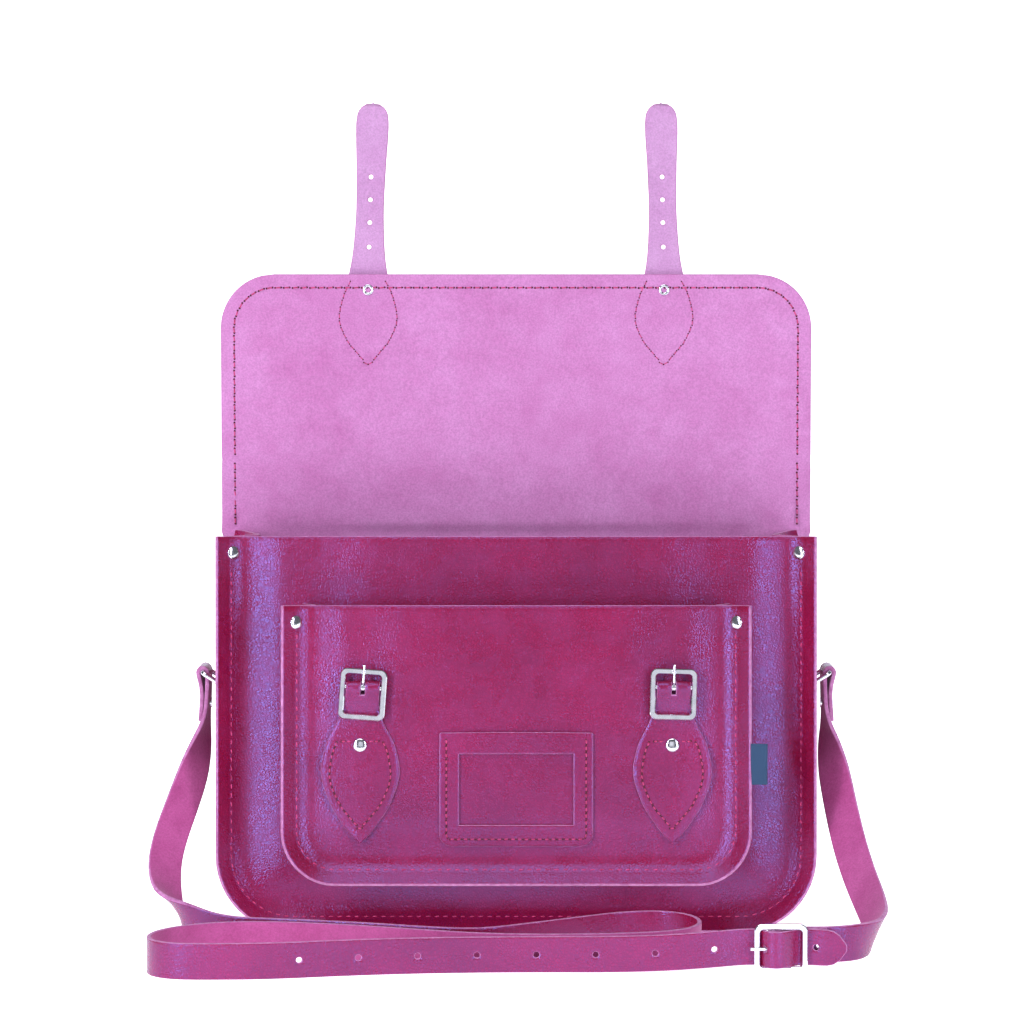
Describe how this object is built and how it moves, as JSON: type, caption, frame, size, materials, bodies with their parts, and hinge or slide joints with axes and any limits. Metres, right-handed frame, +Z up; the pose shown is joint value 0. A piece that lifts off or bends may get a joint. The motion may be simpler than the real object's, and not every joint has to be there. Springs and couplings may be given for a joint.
{
  "type": "satchel bag",
  "caption": "Structured leather satchel with a fold-over flap on two buckled straps, a gusseted front pocket, a label holder and a long shoulder strap.",
  "frame": {"origin": "under the middle of the bag's box without the shoulder strap, at the height it stands on", "axes": "+X to the right as the front is seen, +Y to the back, +Z up"},
  "size_m": [0.4358, 0.2311, 0.4991],
  "materials": {
    "bag_leather": "pebbled grain, semi-gloss",
    "flap_leather": "grain outside, suede-like flesh side inside",
    "strap_leather": "grain outside, matte flesh side inside",
    "nickel": "polished nickel plate",
    "tag_fabric": "woven"
  },
  "bodies": {
    "root": {"back_panel": "bag_leather", "back_corner_rivets": "nickel", "gusset": "bag_leather", "ring_chape_left": "bag_leather", "ring_chape_right": "bag_leather", "chape_rivet_left": "nickel", "chape_rivet_right": "nickel", "shoulder_strap_long": "strap_leather", "shoulder_strap_short": "strap_leather", "shoulder_strap_rivets": "nickel"},
    "front": {"front_panel": "bag_leather", "front_corner_rivets": "nickel", "pocket_gusset": "bag_leather"},
    "pocket": {"pocket_panel": "bag_leather", "pocket_corner_rivets": "nickel", "buckle_tab_left": "bag_leather", "buckle_tab_right": "bag_leather", "buckle_tab_rivet_left": "nickel", "buckle_tab_rivet_right": "nickel", "label_holder": "bag_leather", "side_tag": "tag_fabric"},
    "flap_top": {"flap_top": "flap_leather"},
    "flap_front": {"flap_front": "flap_leather", "strap_leaf_left": "flap_leather", "strap_leaf_right": "flap_leather", "flap_strap_rivet_left": "nickel", "flap_strap_rivet_right": "nickel"},
    "strap_left": {"flap_strap_left": "flap_leather"},
    "strap_right": {"flap_strap_right": "flap_leather"},
    "buckle_left": {"buckle_frame_left": "nickel"},
    "buckle_right": {"buckle_frame_right": "nickel"},
    "prong_left": {"buckle_prong_left": "nickel"},
    "prong_right": {"buckle_prong_right": "nickel"},
    "ring_left": {"side_ring_left": "nickel"},
    "ring_right": {"side_ring_right": "nickel"},
    "shoulder_buckle": {"shoulder_buckle_frame": "nickel"},
    "shoulder_prong": {"shoulder_buckle_prong": "nickel"}
  },
  "joints": [
    {"name": "mouth_open", "type": "hinge", "parent": "root", "child": "front", "pos_m": [0, -0.03279, 0], "axis": [-1, 0, 0], "range_deg": [-7, 0], "deforming": ["gusset"]},
    {"name": "pocket_open", "type": "hinge", "parent": "front", "child": "pocket", "pos_m": [0, -0.05558, 0.04705], "axis": [-1, 0, 0], "range_deg": [-8, 0], "deforming": ["pocket_gusset"]},
    {"name": "flap_back_crease", "type": "hinge", "parent": "root", "child": "flap_top", "pos_m": [0, 0.0438, 0.23882], "axis": [1, 0, 0], "range_deg": [-70, 90]},
    {"name": "flap_front_crease", "type": "hinge", "parent": "flap_top", "child": "flap_front", "pos_m": [0, 0.0438, 0.32242], "axis": [1, 0, 0], "range_deg": [-30, 64]},
    {"name": "flap_strap_bend_left", "type": "hinge", "parent": "flap_front", "child": "strap_left", "pos_m": [-0.091, 0.0462, 0.39552], "axis": [-1, 0, 0], "range_deg": [-45, 60]},
    {"name": "flap_strap_bend_right", "type": "hinge", "parent": "flap_front", "child": "strap_right", "pos_m": [0.091, 0.0462, 0.39552], "axis": [-1, 0, 0], "range_deg": [-45, 60]},
    {"name": "buckle_tilt_left", "type": "hinge", "parent": "pocket", "child": "buckle_left", "pos_m": [-0.09015, -0.05597, 0.15084], "axis": [-0.9976, 0.0058, 0.0695], "range_deg": [0, 20]},
    {"name": "buckle_tilt_right", "type": "hinge", "parent": "pocket", "child": "buckle_right", "pos_m": [0.09269, -0.05597, 0.15089], "axis": [-0.9997, 0.0022, 0.0261], "range_deg": [0, 20]},
    {"name": "prong_swing_left", "type": "hinge", "parent": "buckle_left", "child": "prong_left", "pos_m": [-0.09015, -0.05597, 0.15084], "axis": [0.9976, -0.0058, -0.0695], "range_deg": [0, 110]},
    {"name": "prong_swing_right", "type": "hinge", "parent": "buckle_right", "child": "prong_right", "pos_m": [0.09269, -0.05597, 0.15089], "axis": [0.9997, -0.0022, -0.0261], "range_deg": [0, 110]},
    {"name": "ring_swing_left", "type": "hinge", "parent": "root", "child": "ring_left", "pos_m": [-0.178, 0.009, 0.146], "axis": [0, -1, 0], "range_deg": [-30, 35], "deforming": ["shoulder_strap_long"]},
    {"name": "ring_swing_right", "type": "hinge", "parent": "root", "child": "ring_right", "pos_m": [0.178, 0.009, 0.146], "axis": [0, 1, 0], "range_deg": [-30, 35], "deforming": ["shoulder_strap_short"]},
    {"name": "shoulder_buckle_tilt", "type": "hinge", "parent": "root", "child": "shoulder_buckle", "pos_m": [0.1451, -0.1424, 0.01375], "axis": [0, 0, -1], "range_deg": [-8, 8]},
    {"name": "shoulder_prong_swing", "type": "hinge", "parent": "shoulder_buckle", "child": "shoulder_prong", "pos_m": [0.1451, -0.1424, 0.01375], "axis": [0, 0, 1], "range_deg": [0, 100]}
  ]
}
